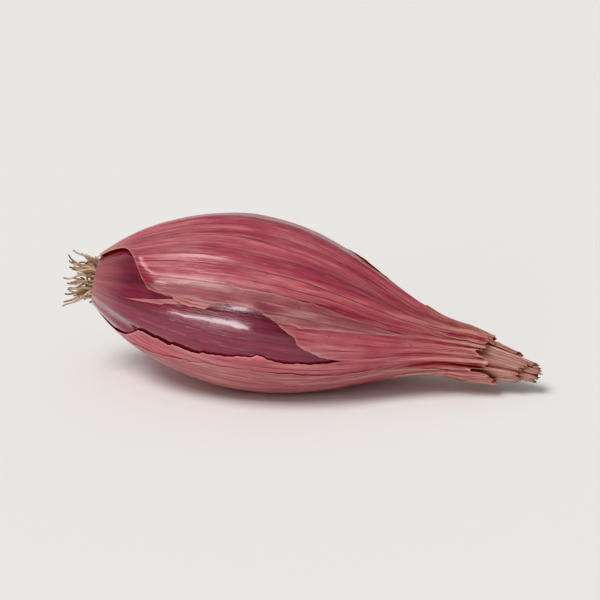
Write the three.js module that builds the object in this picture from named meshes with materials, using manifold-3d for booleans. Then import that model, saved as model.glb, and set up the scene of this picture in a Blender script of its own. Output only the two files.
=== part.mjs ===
// A pink shallot, cured and trimmed, lying on its side the way it comes to rest on a table.
//
// Three pieces of it hold together as bodies of their own colour:
//   bulb       the plump pink bulb in its dry skin, with lengthwise ribs and a torn skin edge
//   dry_neck   the dried leaf sheaths above it, pleated, twisted and cut short
//   root_tuft  the basal plate with the dried stubs of the roots
//
// Millimetres, +Z up. The long axis runs along X, from the roots (-X) to the neck (+X).
// Inside the functions a place on the shallot is given by s, the distance along its own axis
// from the root pole, and by an angle round that axis: 0 is the front (-Y), 90 degrees is up.

import * as THREE from 'three';
import { mergeVertices } from 'three/addons/utils/BufferGeometryUtils.js';
import Module from 'manifold-3d';

// ---- driving dimensions, mm and degrees ------------------------------------------------------

const bellyRadius = 11.8;     // mean radius where the bulb is fullest
const bellyAt = 21.5;         // how far that is from the root pole
const rootFullness = 1.65;    // 2 would round the root end like a ball, less draws it out
const shoulderBias = 1.25;    // above 1 the belly runs on further before it narrows
const widthRatio = 1.06;      // the bulb is a little wider than it is high

const neckAt = 52;            // the bulb ends and the dry neck begins
const neckRadius = 3.3;
const neckTip = 62;
const tipRadius = 1.65;
const neckTwist = 38;         // degrees that the sheaths turn on their way to the tip
const neckDroop = 1.7;        // the tip hangs this much below the bulb's own axis
const neckSway = -1.8;        // and leans this much to the front

const axisTilt = 9;           // the narrow neck drops towards the table, the root end rises
const restDepth = 0.7;        // how much of the underside is pressed flat where the bulb rests

const lipRadius = 3.6;        // opening of the skins round the basal plate
const dimpleDepth = 1.1;      // the plate sits this deep in the bulb
const plateRadius = 2.75;
const plateRise = 1.6;        // from the plate's back to the crown of its dome
const fitGap = 0.3;           // clearance between neighbouring pieces

const rootCount = 28;
const rootRadius = 0.42;
const rootLength = { least: 2.4, most: 4.6 };
const rootSides = 5;

// A shallot grows in a clump, and is pressed flat where its sisters stood.
const flats = [
  { at: 270, depth: 0.085, spread: 34 },
  { at: 158, depth: 0.07, spread: 30 },
];

// The cleft that shows two daughter bulbs under one skin runs up towards the neck.
const cleft = { at: 62, depth: 0.05, spread: 13, from: 14, full: 34 };

// Lengthwise ribs of the skin, as waves round the girth.
const ribWaves = [
  { count: 7, height: 0.15, phase: 0.4 },
  { count: 11, height: 0.13, phase: 2.1 },
  { count: 17, height: 0.08, phase: 4.4 },
];
const pleatGain = 1.1;        // the ribs draw together into pleats by this factor at the neck

// The outermost skin has torn away round the root end and from a window on the front that runs on from
// there; its edge stands proud.
const tear = { at: 1, halfWidth: 18, flare: 46, flareTo: 10.5, closeFrom: 20, to: 37, drift: -6, step: 0.45,
  wobble: 3 };

// Sheaths of the neck that end short of the tip, one outside the other.
const sheaths = [
  { end: 56.2, slant: 1.5, turn: 205, thick: 0.36 },
  { end: 59.6, slant: 0.7, turn: 60, thick: 0.26 },
];

const bulbColumns = 68;
const neckColumns = 46;

// ---- small mathematics -----------------------------------------------------------------------

const { cos, sin, abs, PI } = Math;
const rad = THREE.MathUtils.degToRad;
const smooth = THREE.MathUtils.smoothstep;      // smoothstep(x, low, high)
const lerp = THREE.MathUtils.lerp;

// How near angle a is to the bearing at, both in degrees, as the signed way round.
function turnBetween(a, at) {
  return ((a - at + 540) % 360) - 180;
}

function bump(a, { at, spread }) {
  return Math.exp(-((turnBetween(a, at) / spread) ** 2));
}

function seededRandom(seed) {
  let state = seed;
  return () => {
    state = (state + 0x6d2b79f5) | 0;
    let t = Math.imul(state ^ (state >>> 15), 1 | state);
    t = (t + Math.imul(t ^ (t >>> 7), 61 | t)) ^ t;
    return ((t ^ (t >>> 14)) >>> 0) / 4294967296;
  };
}

// ---- the form of the shallot -----------------------------------------------------------------

// Mean radius at s: a superellipse from the root to the belly, a falling cosine to the neck,
// and a plain taper along the neck.
function meanRadius(s) {
  if (s <= bellyAt) {
    const away = 1 - s / bellyAt;
    return bellyRadius * (1 - away ** rootFullness) ** (1 / rootFullness);
  }
  if (s <= neckAt) {
    const down = ((s - bellyAt) / (neckAt - bellyAt)) ** shoulderBias;
    return lerp(neckRadius, bellyRadius, 0.5 + 0.5 * cos(PI * down));
  }
  return lerp(neckRadius, tipRadius, (s - neckAt) / (neckTip - neckAt));
}

// The skins end round the basal plate where the root end is lipRadius wide.
const lipAt = bellyAt * (1 - (1 - (lipRadius / bellyRadius) ** rootFullness) ** (1 / rootFullness));

// How the girth departs from round: pressed sides and the cleft, as a share of the radius.
function press(s, a) {
  const belly = smooth(s, lipAt, 11) * (1 - smooth(s, 40, 54));
  const sides = flats.reduce((sum, flat) => sum + flat.depth * bump(a, flat), 0);
  const fold = cleft.depth * bump(a, cleft) * smooth(s, cleft.from, cleft.full);
  return belly * sides + fold * (1 - smooth(s, 48, 55));
}

// How far the skins have turned round the axis by the time they reach s, in degrees.
function twistAt(s) {
  return neckTwist * smooth(s, neckAt - 12, neckTip);
}

// Height of the ribs, which fade at the lip, follow the twist and deepen into the pleats.
function ribs(s, a) {
  const turned = rad(a - twistAt(s));
  const wave = ribWaves.reduce((sum, w) => sum + w.height * cos(w.count * turned + w.phase), 0);
  return wave * (0.35 + 0.65 * smooth(s, lipAt, 9)) * (1 + pleatGain * smooth(s, 32, neckAt));
}

// 1 inside the window where the outermost skin is gone, 0 where the skin is whole.
function tornWindow(s, a) {
  const closing = smooth(s, tear.closeFrom, tear.to);
  const centre = tear.at + tear.wobble * sin(s * 0.31) + tear.drift * closing;
  const flare = tear.flare * (1 - smooth(s, tear.flareTo - 6, tear.flareTo));
  const side = turnBetween(a, centre);
  const ragged = tear.wobble * 0.5 * sin(s * 0.83 + (side > 0 ? 1.9 : 0));
  const inside = (tear.halfWidth + flare) * (1 - closing) + ragged - abs(side);
  return smooth(inside, -2, 2) * smooth(s, lipAt, lipAt + 2.5) * (1 - smooth(s, tear.to - 4, tear.to));
}

function bulbRadius(s, a) {
  return meanRadius(s) * (1 - press(s, a)) + ribs(s, a) - tear.step * tornWindow(s, a);
}

// The neck carries each sheath's thickness as far as that sheath reaches.
function neckGirth(s, a) {
  const wrapped = sheaths.reduce((sum, sheath) => {
    const end = sheath.end + sheath.slant * cos(rad(a - sheath.turn));
    return sum + sheath.thick * (1 - smooth(s, end - 0.4, end + 0.4));
  }, 0);
  const whole = sheaths.reduce((sum, sheath) => sum + sheath.thick, 0);
  return meanRadius(s) + ribs(s, a) * lerp(1, 0.7, smooth(s, neckAt, neckTip)) - (whole - wrapped) * 0.5;
}

// From the shallot's own axis to the table: a slight bend towards the neck, then the tilt.
function lay(s, y, z) {
  const reach = ((s - bellyAt) / (neckTip - bellyAt)) ** 2;
  const side = y * widthRatio + neckSway * reach;
  const up = z - neckDroop * reach;
  const tilt = rad(axisTilt);
  return new THREE.Vector3(s * cos(tilt) + up * sin(tilt), side, up * cos(tilt) - s * sin(tilt));
}

function pointAt(s, radius, a) {
  return lay(s, -radius * cos(rad(a)), radius * sin(rad(a)));
}

// The columns turn with the skins, so that ribs and pleats run along the edges of the mesh.
function ring(s, columns, radiusAt) {
  return Array.from({ length: columns }, (_, i) => {
    const a = (360 * i) / columns + twistAt(s);
    return pointAt(s, radiusAt(s, a), a);
  });
}

// ---- closed meshes ---------------------------------------------------------------------------

// Joins rings of points, laid from a first pole to a last one, into one closed skin.
function closedSkin(firstPole, rings, lastPole) {
  const columns = rings[0].length;
  const points = [firstPole, ...rings.flat(), lastPole];
  const at = (row, column) => 1 + row * columns + (column % columns);
  const triangles = [];
  for (let c = 0; c < columns; c += 1) {
    triangles.push(0, at(0, c), at(0, c + 1));
    triangles.push(points.length - 1, at(rings.length - 1, c + 1), at(rings.length - 1, c));
    for (let r = 0; r < rings.length - 1; r += 1) {
      triangles.push(at(r, c + 1), at(r, c), at(r + 1, c));
      triangles.push(at(r + 1, c + 1), at(r, c + 1), at(r + 1, c));
    }
  }
  const geometry = new THREE.BufferGeometry();
  geometry.setAttribute('position', new THREE.Float32BufferAttribute(points.flatMap(p => p.toArray()), 3));
  geometry.setIndex(triangles);
  return geometry;
}

function steps(from, to, count, ease = t => t) {
  return Array.from({ length: count + 1 }, (_, i) => lerp(from, to, ease(i / count)));
}

const easeOut = t => 1 - cos((t * PI) / 2);      // rings crowd together at the tightly curved end

// ---- bulb ------------------------------------------------------------------------------------

function makeBulb() {
  const floorAt = lipAt + dimpleDepth;
  const places = [...steps(lipAt, bellyAt, 11, easeOut), ...steps(bellyAt, neckAt, 20).slice(1)];
  const rings = [
    ring(floorAt, bulbColumns, () => lipRadius * 0.45),
    ring(floorAt, bulbColumns, () => lipRadius * 0.86),
    ring(lipAt + 0.2, bulbColumns, () => lipRadius * 0.91),
    ...places.map(s => ring(s, bulbColumns, bulbRadius)),
    ring(neckAt, bulbColumns, (s, a) => bulbRadius(s, a) * 0.5),
  ];
  return closedSkin(pointAt(floorAt, 0, 0), rings, pointAt(neckAt, 0, 0));
}

// ---- dry neck --------------------------------------------------------------------------------

function makeNeck() {
  const foot = neckAt + fitGap;
  const rings = [
    ring(foot, neckColumns, (s, a) => neckGirth(s, a) * 0.5),
    ...steps(foot, neckTip, 21).map(s => ring(s, neckColumns, neckGirth)),
    ring(neckTip - 0.1, neckColumns, (s, a) => neckGirth(s, a) * 0.66),
    ring(neckTip - 1.1, neckColumns, () => tipRadius * 0.36),
  ];
  return closedSkin(pointAt(foot, 0, 0), rings, pointAt(neckTip - 1.3, 0, 0));
}

// ---- root tuft -------------------------------------------------------------------------------

function makePlate() {
  const columns = 22;
  const back = lipAt + dimpleDepth - fitGap;
  const crown = back - plateRise;
  const disc = (s, radius) => ring(s, columns, () => radius);
  const rings = [
    disc(crown + 0.15, plateRadius * 0.5),
    disc(crown + 0.55, plateRadius * 0.86),
    disc(crown + 1.0, plateRadius),
    disc(back, plateRadius * 0.94),
  ];
  return closedSkin(pointAt(crown, 0, 0), rings, pointAt(back, 0, 0));
}

// A dried root: a thin curved taper that starts inside the plate and leans outwards.
function makeRoot(index, random) {
  const share = Math.sqrt((index + 0.6) / rootCount);
  const bearing = index * 137.508 + lerp(-12, 12, random());
  const startRadius = (plateRadius - rootRadius - 0.05) * share;
  const lean = lerp(8, 52, share) + lerp(-8, 8, random());
  const length = lerp(rootLength.least, rootLength.most, random());
  const bend = lerp(-0.9, 0.9, random());
  const start = lipAt + dimpleDepth - fitGap - 0.75;
  const spans = 4;
  const heading = new THREE.Vector3();
  const centre = t => {
    const out = startRadius + length * t * sin(rad(lean)) + 0.25 * t * t;
    return { s: start - 0.4 * t - length * t * cos(rad(lean)), out, a: bearing + bend * 14 * t * t };
  };
  const spot = t => pointAt(centre(t).s, centre(t).out, centre(t).a);
  const section = t => {
    heading.subVectors(spot(t + 0.01), spot(t - 0.01)).normalize();
    const across = new THREE.Vector3(0, 0, 1).cross(heading).normalize();
    const over = heading.clone().cross(across);
    const radius = rootRadius * lerp(1, 0.76, t);
    return Array.from({ length: rootSides }, (_, i) => {
      const turn = (-2 * PI * i) / rootSides;    // the same way round as the other rings
      return spot(t).addScaledVector(across, radius * cos(turn)).addScaledVector(over, radius * sin(turn));
    });
  };
  const along = steps(0, 1, spans);
  return closedSkin(spot(0), along.map(section), spot(1.04));
}

const wasm = await Module();
wasm.setup();

function toSolid(geometry) {
  const merged = mergeVertices(geometry, 1e-5);
  return new wasm.Manifold(new wasm.Mesh({
    numProp: 3,
    vertProperties: new Float32Array(merged.attributes.position.array),
    triVerts: new Uint32Array(merged.index.array),
  }));
}

function toGeometry(solid) {
  const { vertProperties, triVerts } = solid.getMesh();
  const geometry = new THREE.BufferGeometry();
  geometry.setAttribute('position', new THREE.Float32BufferAttribute(vertProperties, 3));
  geometry.setIndex(new THREE.Uint32BufferAttribute(triVerts, 1));
  return geometry;
}

function makeRootTuft() {
  const random = seededRandom(41);
  let tuft = toSolid(makePlate());
  for (let i = 0; i < rootCount; i += 1) tuft = tuft.add(toSolid(makeRoot(i, random)));
  return toGeometry(tuft);
}

// ---- assembly --------------------------------------------------------------------------------

// Sets the lowest part of the bulb on z = 0 and presses its underside flat there.
function settle(geometry, floor) {
  const position = geometry.attributes.position;
  for (let i = 0; i < position.count; i += 1) position.setZ(i, Math.max(position.getZ(i) - floor, 0));
  return geometry;
}

function piece(name, geometry, material) {
  const mesh = new THREE.Mesh(geometry, new THREE.MeshStandardMaterial(material));
  mesh.name = name;
  return mesh;
}

const bulb = makeBulb();
bulb.computeBoundingBox();
const floor = bulb.boundingBox.min.z + restDepth;

const group = new THREE.Group();
group.add(
  piece('bulb', settle(bulb, floor), { color: '#a43c51', roughness: 0.38, metalness: 0 }),
  piece('dry_neck', settle(makeNeck(), floor), { color: '#b37a5d', roughness: 0.6, metalness: 0 }),
  piece('root_tuft', settle(makeRootTuft(), floor), { color: '#b89a76', roughness: 0.85, metalness: 0 }),
);

// The origin lies on the table, under the middle of the shallot.
const middle = new THREE.Box3().setFromObject(group).getCenter(new THREE.Vector3());
group.position.set(-middle.x, -middle.y, 0);

export default group;
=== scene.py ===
# %% [markdown]
# # A long pink shallot, cured and trimmed
# A shallot is a small onion that grows in a clump. Each bulb is wrapped in leaf bases. The outermost
# ones dry to a papery skin that tears and curls, and under it lies a fresh, glossy skin. At one end
# the sheaths roll together into a dry neck, and at the other the skins end round a corky plate with
# the remains of the roots.
#
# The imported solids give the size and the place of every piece. This script grows the finished
# surfaces over them, in metres, in the same frame.

# %% Load the frame
import math

import bpy
import numpy as np
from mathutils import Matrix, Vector


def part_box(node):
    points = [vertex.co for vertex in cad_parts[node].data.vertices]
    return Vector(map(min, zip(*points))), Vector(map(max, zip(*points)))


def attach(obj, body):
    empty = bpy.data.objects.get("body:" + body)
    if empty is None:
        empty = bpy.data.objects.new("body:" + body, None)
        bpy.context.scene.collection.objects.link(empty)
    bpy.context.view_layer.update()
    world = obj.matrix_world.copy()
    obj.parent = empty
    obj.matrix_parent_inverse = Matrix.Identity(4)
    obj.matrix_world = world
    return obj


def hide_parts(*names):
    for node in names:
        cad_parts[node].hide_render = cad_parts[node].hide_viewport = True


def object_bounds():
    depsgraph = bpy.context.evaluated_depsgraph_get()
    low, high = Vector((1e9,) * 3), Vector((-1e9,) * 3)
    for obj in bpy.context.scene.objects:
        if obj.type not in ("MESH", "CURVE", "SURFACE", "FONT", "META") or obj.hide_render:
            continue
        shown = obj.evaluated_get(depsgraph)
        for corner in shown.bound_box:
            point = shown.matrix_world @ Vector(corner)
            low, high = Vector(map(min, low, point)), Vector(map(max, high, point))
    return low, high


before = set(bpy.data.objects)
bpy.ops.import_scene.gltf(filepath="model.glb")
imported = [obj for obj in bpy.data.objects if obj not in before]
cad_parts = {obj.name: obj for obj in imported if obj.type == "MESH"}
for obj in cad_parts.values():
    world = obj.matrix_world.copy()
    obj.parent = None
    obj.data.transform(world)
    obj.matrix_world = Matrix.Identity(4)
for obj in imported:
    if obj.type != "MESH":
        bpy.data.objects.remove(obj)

MM = 0.001
cad_box = [list(corner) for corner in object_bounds()]
print("solids, mm:", [[round(v / MM, 2) for v in corner] for corner in cad_box])


# %% [markdown]
# ## The form of the bulb
# A turned shape would look machined. A real shallot is drawn out at both ends, fullest nearer the
# root, flattened where its sisters pressed on it, and ribbed from end to end, and its skins turn
# round the axis as they reach the neck. The form is a rule with a few sizes: s is the distance from
# the root pole along the axis, a is the angle round it, and the rule gives the radius. The numbers
# are those of the solids, so the surfaces land on them.

# %% Sizes of the form, in millimetres and degrees
BELLY_RADIUS, BELLY_AT = 11.8, 21.5
ROOT_FULLNESS, SHOULDER_BIAS = 1.65, 1.25
WIDTH_RATIO = 1.06
NECK_AT, NECK_RADIUS = 52.0, 3.3
NECK_TIP, TIP_RADIUS = 62.0, 1.65
NECK_TWIST, TWIST_FROM = 38.0, NECK_AT - 12
NECK_DROOP, NECK_SWAY = 1.7, -1.8
AXIS_TILT = math.radians(9.0)
LIP_RADIUS, DIMPLE_DEPTH = 3.6, 1.1
LIP_AT = BELLY_AT * (1 - (1 - (LIP_RADIUS / BELLY_RADIUS) ** ROOT_FULLNESS) ** (1 / ROOT_FULLNESS))
# A pressed side or a cleft: its angle, its depth as a share of the radius, and its spread.
FLATS = [(270, 0.085, 34), (158, 0.07, 30)]
CLEFT = (62, 0.05, 13)
# Along the bulb, a hollow deepens between the first two places and fades between the last two.
FLATS_ALONG = (LIP_AT, 11, 40, 54)
CLEFT_ALONG = (14, 34, 48, 55)
# A family of ribs: its count round the girth, its height, and its phase.
RIB_WAVES = [(7, 0.15, 0.4), (11, 0.13, 2.1), (17, 0.08, 4.4)]
RIBS_AT_ROOT, RIBS_FULL_AT = 0.35, 9
PLEATS_FROM, PLEAT_GAIN = 32, 1.1
print("the lip round the root plate lies", round(LIP_AT, 2), "mm from the pole")


# %% Radius of the bulb at any place on it
def smooth(x, low, high):
    t = np.clip((np.asarray(x, float) - low) / (high - low), 0, 1)
    return t * t * (3 - 2 * t)


def faded(amount, x, low, full, fading, gone):
    return amount * smooth(x, low, full) * (1 - smooth(x, fading, gone))


def mean_radius(s):
    s = np.asarray(s, float)
    away = np.clip(1 - s / BELLY_AT, 0, 1)
    root_side = BELLY_RADIUS * (1 - away ** ROOT_FULLNESS) ** (1 / ROOT_FULLNESS)
    down = np.clip((s - BELLY_AT) / (NECK_AT - BELLY_AT), 0, 1) ** SHOULDER_BIAS
    shoulder = NECK_RADIUS + (BELLY_RADIUS - NECK_RADIUS) * (0.5 + 0.5 * np.cos(math.pi * down))
    taper = NECK_RADIUS + (TIP_RADIUS - NECK_RADIUS) * (s - NECK_AT) / (NECK_TIP - NECK_AT)
    return np.where(s <= BELLY_AT, root_side, np.where(s <= NECK_AT, shoulder, taper))


def twist(s):
    return NECK_TWIST * smooth(s, TWIST_FROM, NECK_TIP)


def dent(a, at, depth, spread):
    return depth * np.exp(-((((a - at + 540) % 360 - 180) / spread) ** 2))


def ribs(s, a):
    turned = np.radians(a - twist(s))
    wave = sum(height * np.cos(count * turned + phase) for count, height, phase in RIB_WAVES)
    strength = RIBS_AT_ROOT + (1 - RIBS_AT_ROOT) * smooth(s, LIP_AT, RIBS_FULL_AT)
    return wave * strength * (1 + PLEAT_GAIN * smooth(s, PLEATS_FROM, NECK_AT))


def skin_radius(s, a):
    pressed = faded(sum(dent(a, *flat) for flat in FLATS), s, *FLATS_ALONG)
    cleft = faded(dent(a, *CLEFT), s, *CLEFT_ALONG)
    return mean_radius(s) * (1 - pressed - cleft) + ribs(s, a)


print("radius at the belly, front and top, mm:", skin_radius(BELLY_AT, np.array([0, 90])).round(2))


# %% [markdown]
# ## From the axis to the table
# The bulb lies on its side with its neck low, as a tapered thing comes to rest. The rule's own axis
# is bent a little towards the neck and then tilted. What is left is a shift, and that is measured:
# the box of this form and the box of the solid bulb have to agree.

# %% Lay a place on the shallot on the table
def lay(s, radius, a):
    reach = ((s - BELLY_AT) / (NECK_TIP - BELLY_AT)) ** 2
    side = -radius * np.cos(np.radians(a)) * WIDTH_RATIO + NECK_SWAY * reach
    up = radius * np.sin(np.radians(a)) - NECK_DROOP * reach
    return np.stack([s * math.cos(AXIS_TILT) + up * math.sin(AXIS_TILT), side,
                     up * math.cos(AXIS_TILT) - s * math.sin(AXIS_TILT)], axis=-1)


probe_s, probe_a = np.meshgrid(np.linspace(LIP_AT, NECK_AT, 400), np.linspace(0, 360, 361))
probe = lay(probe_s, skin_radius(probe_s, probe_a), probe_a).reshape(-1, 3)
solid_low, solid_high = (np.array(corner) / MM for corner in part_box("bulb"))
shift = (solid_low + solid_high) / 2 - (probe.min(0) + probe.max(0)) / 2
shift[2] = solid_high[2] - probe[:, 2].max()
print("shift of the form, mm:", shift.round(3))


# %% [markdown]
# ## Weaving a surface
# Every skin here is a net of rows along the shallot and columns round it. The net remembers for each
# point how far along it is, how far round, and how near it is to a torn edge, because the relief and
# the finish follow the surface and not the room. The way round is also kept as a UV map, which can
# hold two values at the seam. A net that closes on itself is a ring, and may end in poles.

# %% Turn a net of places into a mesh
def put_in_scene(name, data):
    thing = bpy.data.objects.new(name, data)
    bpy.context.collection.objects.link(thing)
    return thing


def weave(name, s, a, radius, edge=None, ring=False, poles=(None, None), floor=0.0):
    rows, columns = s.shape
    points = (lay(s, radius, a) + shift).reshape(-1, 3)
    along = s.ravel()
    turn = ((a - twist(s)) / 360).ravel()
    nearness = np.zeros(s.size) if edge is None else edge.ravel()
    grid = np.arange(rows * columns).reshape(rows, columns)
    across = np.concatenate([grid, grid[:, :1]], axis=1) if ring else grid
    corners = [across[:-1, :-1], across[1:, :-1], across[1:, 1:], across[:-1, 1:]]
    faces = np.stack(corners, -1).reshape(-1, 4).tolist()
    for pole_s, row, order in ((poles[0], 0, -1), (poles[1], rows - 1, 1)):
        if pole_s is None:
            continue
        tip = len(points)
        points = np.vstack([points, lay(np.array([pole_s]), np.zeros(1), np.zeros(1)) + shift])
        along = np.append(along, pole_s)
        turn = np.append(turn, 0.5)
        nearness = np.append(nearness, 0)
        rim = across[row].tolist()
        faces += [[tip, x, y][::order] for x, y in zip(rim[1:], rim[:-1])]
    points[:, 2] = np.maximum(points[:, 2], floor)
    mesh = bpy.data.meshes.new(name)
    mesh.from_pydata((points * MM).tolist(), [], faces)
    for key, values in (("along", along), ("turn", turn), ("edge", nearness)):
        kept = mesh.attributes.new(key, "FLOAT", "POINT").data
        kept.foreach_set("value", values.astype(np.float32))
    keep_way_round(mesh, along, turn)
    return put_in_scene(name, mesh)


def keep_way_round(mesh, along, turn):
    corners = np.zeros(len(mesh.loops), int)
    mesh.loops.foreach_get("vertex_index", corners)
    starts = np.array([p.loop_start for p in mesh.polygons])
    sizes = np.array([p.loop_total for p in mesh.polygons])
    values = turn[corners]
    first = np.repeat(values[starts], sizes)
    values = values - np.round(values - first)
    places = np.stack([values, along[corners] / 100], 1)
    mesh.uv_layers.new(name="skin").data.foreach_set("uv", places.astype(np.float32).ravel())


# %% [markdown]
# ## Nodes, and places round the bulb
# Node trees make the relief and the finishes. One small function adds a node to a tree, fills or
# links its inputs in order and hands back one of its outputs, so a tree reads like a recipe. The
# kinds of node that come most often have short names.
#
# A pattern that runs along the shallot needs places that meet at the seam. So the way round becomes
# a point on a circle, and the way along a height above it. One unit there is the radius of the
# belly: a pattern so many millimetres wide has a scale of the belly's radius over that width, and a
# stretch draws it out along the veins.

# %% Add a node, and find places round the bulb
MATH, VECTOR, MIX = "ShaderNodeMath", "ShaderNodeVectorMath", "ShaderNodeMix"
RANGE, NOISE = "ShaderNodeMapRange", "ShaderNodeTexNoise"
STORE, ON_POINTS = "GeometryNodeStoreNamedAttribute", {"data_type": "FLOAT", "domain": "POINT"}


def add(tree, kind, *values, out=0, named=None, **settings):
    node = tree.nodes.new(kind)
    for key, value in settings.items():
        setattr(node, key, value)
    for key, value in [*enumerate(values), *(named or {}).items()]:
        if isinstance(value, bpy.types.NodeSocket):
            tree.links.new(value, node.inputs[key])
        else:
            node.inputs[key].default_value = value
    return node.outputs[out] if node.outputs else node


def round_the_bulb(tree, turn, along, *stretches):
    angle = add(tree, MATH, turn, math.tau, operation="MULTIPLY")
    east = add(tree, MATH, angle, operation="COSINE")
    north = add(tree, MATH, angle, operation="SINE")
    places = []
    for stretch in stretches:
        rise = add(tree, MATH, along, 1 / (BELLY_RADIUS * stretch), operation="MULTIPLY")
        places.append(add(tree, "ShaderNodeCombineXYZ", east, north, rise))
    return angle, *places


# %% [markdown]
# ## Relief that follows the skin
# A dry skin has raised veins from root to neck, a fine crinkle between them, and slight hollows
# where it has shrunk on the flesh. That could be a bump in the finish alone, but the outline would
# stay smooth. Geometry Nodes repeat the vein round the girth: the height of each point is worked
# out from how far round and along it is, and it is moved that much along its normal. The ridges are
# stored too, for the finish.

# %% Start and end of a tree with named inputs
def start_tree(name, inputs):
    tree = bpy.data.node_groups.new(name, "GeometryNodeTree")
    for label, kind in {"Geometry": "Geometry", **inputs, "Finish": "Material"}.items():
        tree.interface.new_socket(label, in_out="INPUT", socket_type="NodeSocket" + kind)
    tree.interface.new_socket("Geometry", in_out="OUTPUT", socket_type="NodeSocketGeometry")
    return tree, {s.name: s for s in tree.nodes.new("NodeGroupInput").outputs}


def end_tree(tree, given, geometry):
    shaded = add(tree, "GeometryNodeSetShadeSmooth", geometry)
    real = add(tree, "GeometryNodeRealizeInstances", shaded)
    finished = add(tree, "GeometryNodeSetMaterial", real, named={"Material": given["Finish"]})
    add(tree, "NodeGroupOutput", finished)
    print(tree.name, "tree:", len(tree.nodes), "nodes")
    return tree


# %% Veins that wander round the girth and grow into pleats
EASED = {"interpolation_type": "SMOOTHSTEP"}
WANDER_WIDTH, WANDER_SIZE, VEIN_SHARPNESS = 5.4, 5.0, 3.0
PLEATS_GROW = (34.0, 54.0)


def raised_veins(tree, given, along, angle, grain):
    sway = add(tree, NOISE, grain, given["Seed"], BELLY_RADIUS / WANDER_WIDTH, noise_dimensions="4D")
    drift = add(tree, MATH, sway, WANDER_SIZE, operation="MULTIPLY")
    phase = add(tree, MATH, angle, given["Vein count"], drift, operation="MULTIPLY_ADD")
    half = add(tree, MATH, phase, 0.5, operation="MULTIPLY")
    ridge = add(tree, MATH, half, operation="SINE")
    ridge = add(tree, MATH, ridge, operation="ABSOLUTE")
    ridge = add(tree, MATH, ridge, VEIN_SHARPNESS, operation="POWER")
    pleat = add(tree, RANGE, along, *PLEATS_GROW, 0.0, given["Pleat height"], **EASED)
    height = add(tree, MATH, given["Vein height"], pleat, operation="ADD")
    return ridge, add(tree, MATH, height, ridge, operation="MULTIPLY")


# %% The tree that raises veins, crinkles and hollows
VEIN_STRETCH, SKIN_STRETCH = 7.0, 2.4
# A kind of unevenness: its input, its width in millimetres, its detail, and the noise that is level.
UNEVENNESS = [("Crinkle height", 0.85, 4.0, 0.5), ("Hollow depth", 5.9, 2.0, 0.62)]


def relief_tree():
    tree, given = start_tree("veins and crinkles", {
        "Vein count": "Int", "Vein height": "Float", "Pleat height": "Float",
        "Crinkle height": "Float", "Hollow depth": "Float", "Seed": "Float"})
    along = add(tree, "GeometryNodeInputNamedAttribute", "along", data_type="FLOAT")
    turn = add(tree, "GeometryNodeInputNamedAttribute", "turn", data_type="FLOAT")
    angle, grain, skin = round_the_bulb(tree, turn, along, VEIN_STRETCH, SKIN_STRETCH)
    ridge, height = raised_veins(tree, given, along, angle, grain)
    for size, width, detail, level in UNEVENNESS:
        noise = add(tree, NOISE, skin, given["Seed"], BELLY_RADIUS / width, detail,
                    noise_dimensions="4D")
        noise = add(tree, MATH, noise, level, operation="SUBTRACT")
        height = add(tree, MATH, noise, given[size], height, operation="MULTIPLY_ADD")
    metres = add(tree, MATH, height, MM, operation="MULTIPLY")
    normal = add(tree, "GeometryNodeInputNormal")
    offset = add(tree, VECTOR, normal, named={"Scale": metres}, operation="SCALE")
    raised = add(tree, "GeometryNodeSetPosition", given["Geometry"], named={"Offset": offset})
    kept = add(tree, STORE, raised, named={"Name": "ridge", "Value": ridge}, **ON_POINTS)
    return end_tree(tree, given, kept)


relief = relief_tree()


# %% [markdown]
# ## Applying a tree
# A node tree on a modifier is live. The parts library wants plain meshes, so the result is read back
# from the evaluated object, the modifiers are removed and the mesh takes the object's place. Inputs
# are set by the socket's identifier, because its name is only a label. A thin skin gets its
# thickness at the same time, and nothing is left below the table.

# %% Run a tree on a piece and keep the result as its mesh
def grow(piece, tree, inputs, finish, thickness=0.0):
    modifier = piece.modifiers.new("grow", "NODES")
    modifier.node_group = tree
    values = {**inputs, "Finish": finish}
    for item in tree.interface.items_tree:
        if item.in_out == "INPUT" and item.name in values:
            modifier[item.identifier] = values[item.name]
    if thickness:
        shell = piece.modifiers.new("thickness", "SOLIDIFY")
        shell.thickness = thickness * MM
        shell.offset = -1.0
        shell.use_even_offset = False
    graph = bpy.context.evaluated_depsgraph_get()
    mesh = bpy.data.meshes.new_from_object(piece.evaluated_get(graph), preserve_all_data_layers=True,
                                           depsgraph=graph)
    piece.modifiers.clear()
    piece.data = mesh
    mesh.name = piece.name
    places = np.zeros(len(mesh.vertices) * 3, np.float32)
    mesh.vertices.foreach_get("co", places)
    places[2::3] = np.maximum(places[2::3], 0)
    mesh.vertices.foreach_set("co", places)
    mesh.update()
    mesh.calc_loop_triangles()
    print(piece.name, "triangles:", len(mesh.loop_triangles))
    return piece


# %% [markdown]
# ## Finish: the skins
# A shallot's skin is a film of dead cells with pink pigment in them, over veins that run from root
# to neck. One picture wrapped round the bulb would blur close up. A few noises, each as wide as
# something real, stay crisp: broad bands of pigment, streaks between veins, files of cells, a dusty
# bloom in patches, and specks of soil. Real cells are about 0.1 mm wide, too fine to show, so the
# files of cells are drawn nearly three times as wide.

# %% Patterns of a skin, widths in millimetres
BAND, STREAK, CELL_FILE, BLOOM, SPECK, SOIL_GRAIN = 3.9, 0.9, 0.28, 9, 1.1, 1.6
PATTERN_STRETCH = 10.6
VEIN_WAVER, VEIN_WIDTH = 1.6, 0.11
# Noise stays near 0.5. A pattern starts to show at its first level, and is full at its second.
VEINS_SHOW, VEIN_SHARES = (0.42, 0.62), (0.15, 1.0)


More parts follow.
